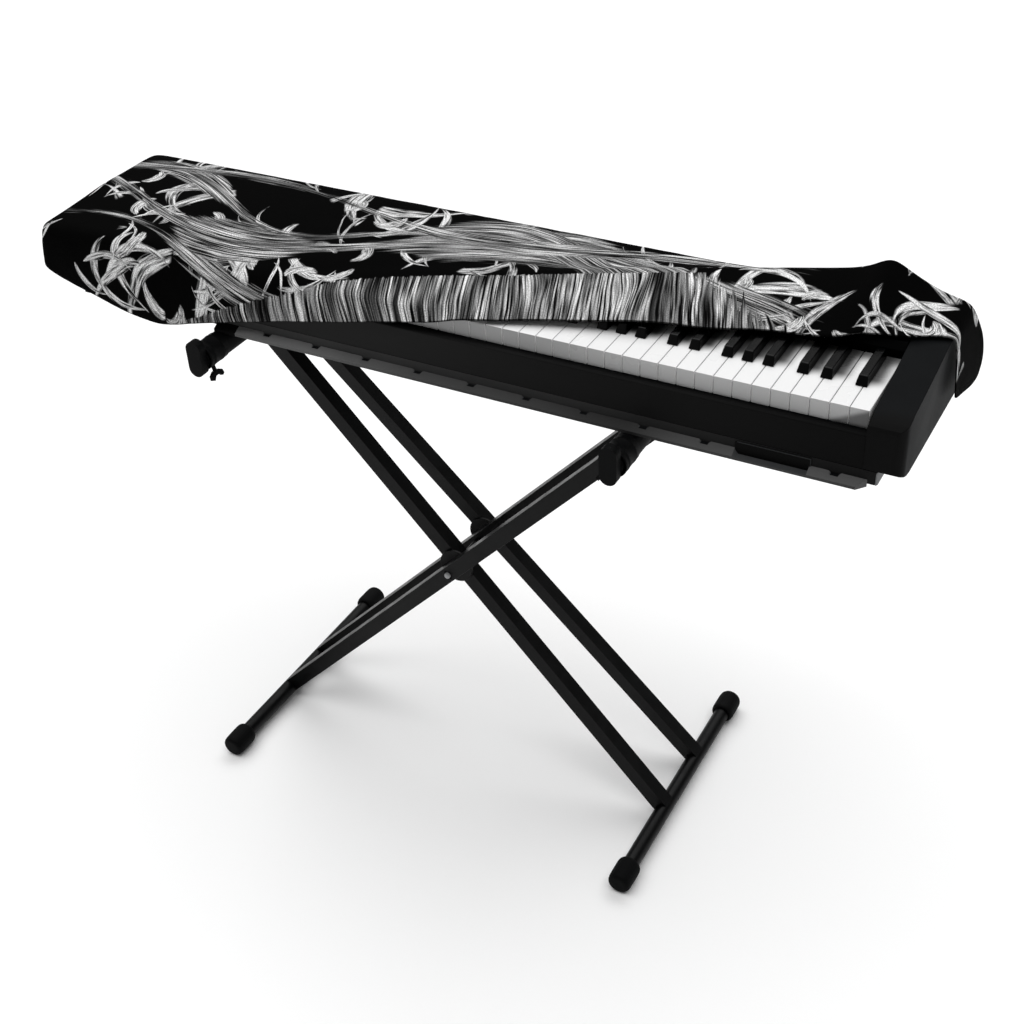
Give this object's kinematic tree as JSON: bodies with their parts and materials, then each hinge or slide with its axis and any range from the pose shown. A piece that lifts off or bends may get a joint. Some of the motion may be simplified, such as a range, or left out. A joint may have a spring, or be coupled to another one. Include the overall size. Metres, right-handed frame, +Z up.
{
  "type": "piano keyboard cover on keyboard and stand",
  "caption": "Printed stretch-cloth cover lying askew over a slim piano keyboard, folded back from the treble keys, on a folding double-X stand.",
  "frame": {"origin": "on the floor, under the middle of the whole set", "axes": "+X along the keyboard to its treble end, +Y to its back, +Z up"},
  "size_m": [1.283, 0.4606, 0.898],
  "materials": {
    "cloth": "matt printed knit",
    "body": "fine matt grain",
    "ledge": "matt",
    "white_keys": "satin",
    "black_keys": "satin",
    "paint": "satin black powder coat",
    "rubber": "matt",
    "steel": "bright"
  },
  "bodies": {
    "root": {"cover": "cloth", "base_tray": "body", "front_rail": "body", "key_bed": "body", "rear_deck": "body", "left_block": "body", "right_cheek": "body", "front_ledge": "ledge", "white_keys": "white_keys", "black_keys": "black_keys", "leg_front_left_top": "paint", "leg_front_right_top": "paint", "leg_back_left_top": "paint", "leg_back_right_top": "paint", "foot_bar_left": "paint", "foot_bar_right": "paint", "arm_tube_left": "paint", "arm_tube_right": "paint", "hinge_plate_front": "paint", "hinge_plate_back": "paint", "hinge_rod": "paint", "foot_cap_left_front": "rubber", "foot_cap_left_back": "rubber", "arm_sleeve_left": "rubber", "arm_stop_left": "rubber", "arm_knob_left": "rubber", "foot_cap_right_front": "rubber", "foot_cap_right_back": "rubber", "arm_sleeve_right": "rubber", "arm_stop_right": "rubber", "arm_knob_right": "rubber", "hinge_bolt_front": "steel", "hinge_bolt_back": "steel"}
  },
  "joints": []
}
